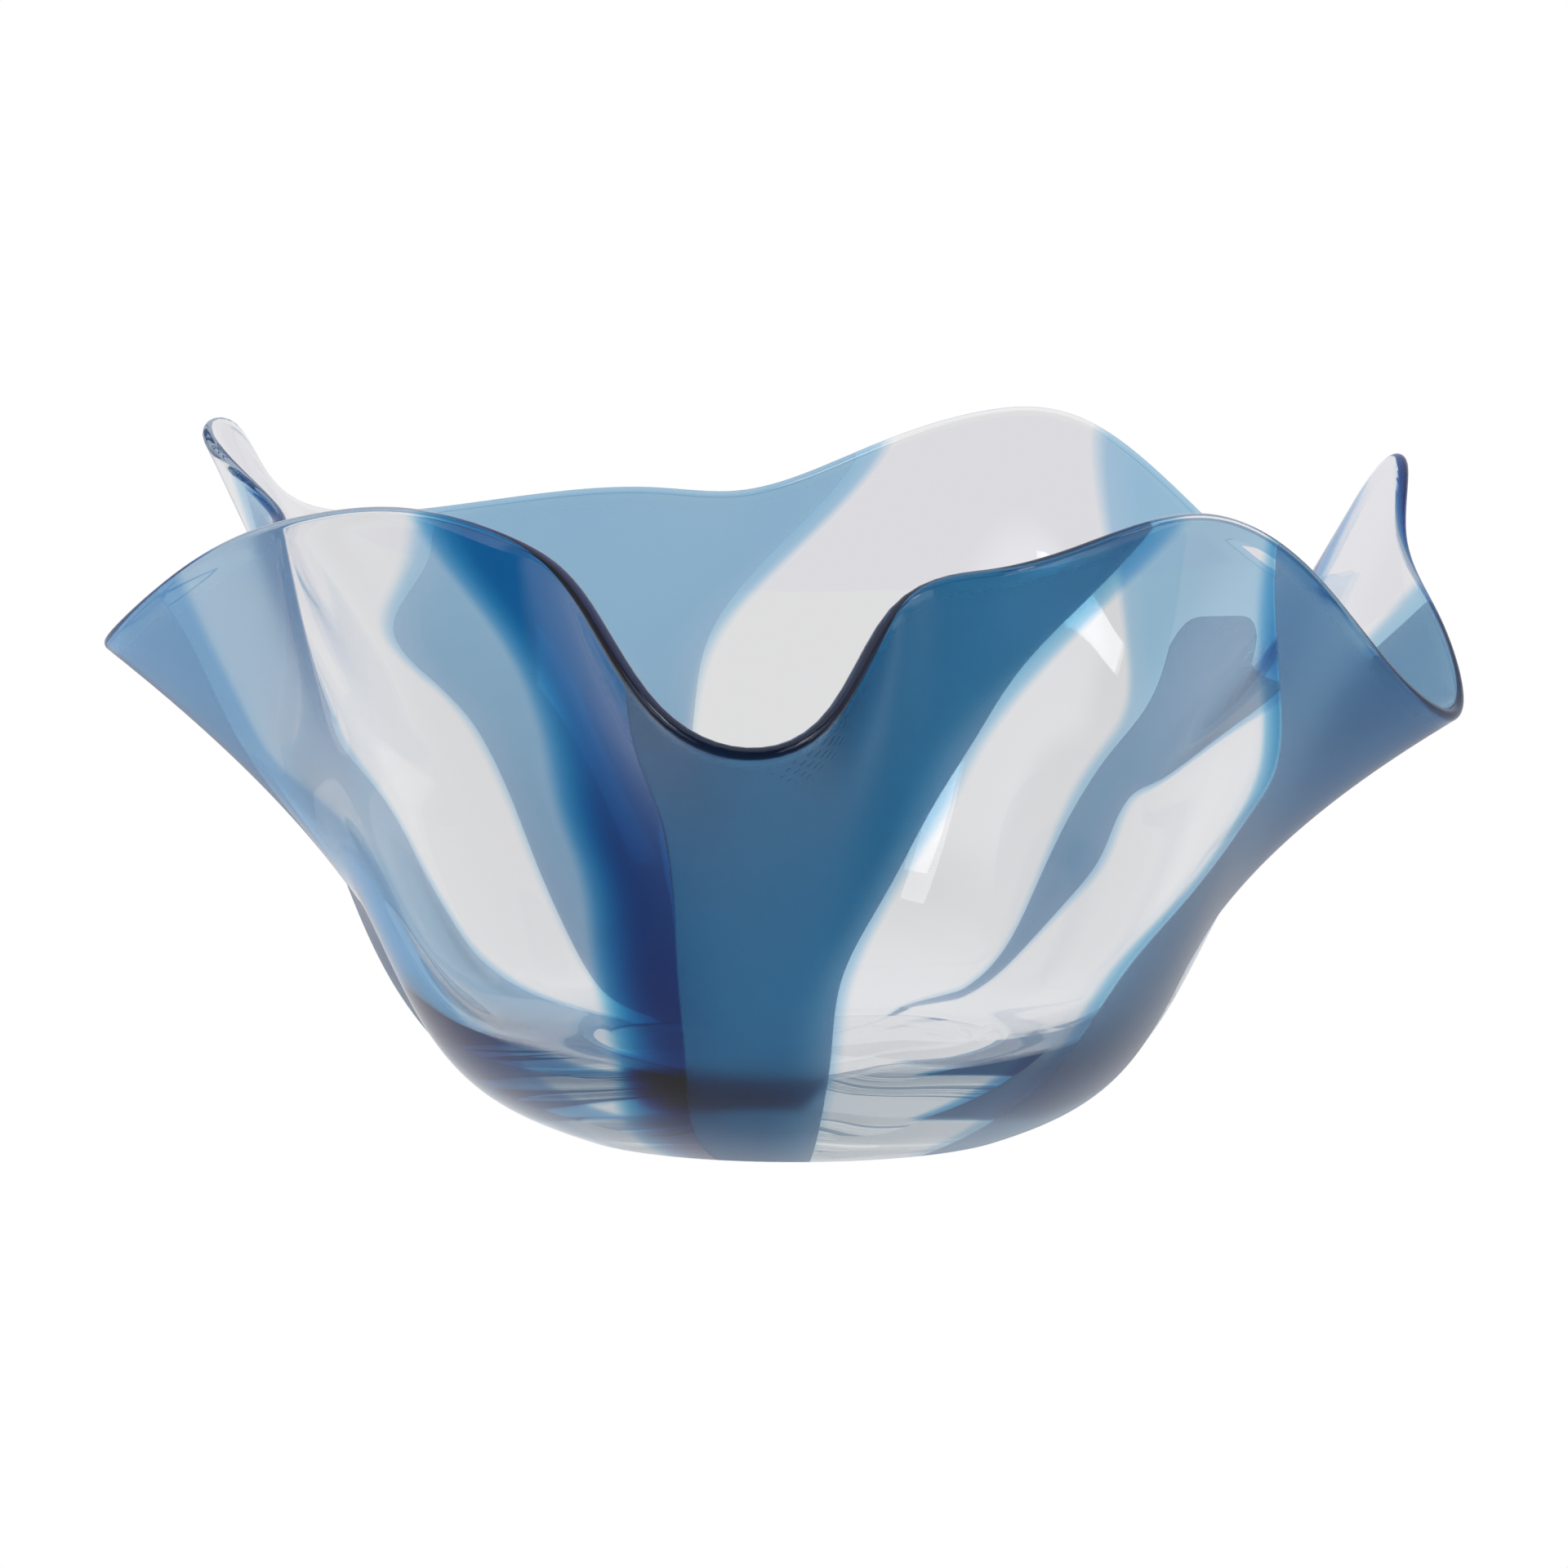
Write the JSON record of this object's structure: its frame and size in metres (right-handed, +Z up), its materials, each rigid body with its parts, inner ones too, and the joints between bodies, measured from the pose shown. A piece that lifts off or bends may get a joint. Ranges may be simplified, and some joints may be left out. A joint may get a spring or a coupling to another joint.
{
  "type": "ruffled art glass bowl",
  "caption": "Free-standing ruffled glass bowl with a thick flat base, a wavy folded rim and broad blue stripes running up its clear wall.",
  "frame": {"origin": "centre of the flat resting face under the base", "axes": "+Z up through the bowl's mouth; -Y points out through the lowest front lobe, which faces the viewer; +X points to the right lobe"},
  "size_m": [0.3772, 0.3378, 0.1936],
  "materials": {
    "clear_glass": "fire-polished clear soda-lime glass",
    "blue_glass": "fire-polished transparent blue glass",
    "opal_glass": "satin translucent grey-blue glass"
  },
  "bodies": {
    "root": {"clear_bowl": "clear_glass", "blue_stripe_front": "blue_glass", "blue_stripe_right": "blue_glass", "blue_stripe_back_right": "blue_glass", "blue_stripe_back_left": "blue_glass", "blue_stripe_left": "blue_glass", "opal_overlay_front": "opal_glass", "opal_overlay_right": "opal_glass", "opal_overlay_back_right": "opal_glass", "opal_overlay_back_left": "opal_glass", "opal_overlay_left": "opal_glass"}
  },
  "joints": []
}
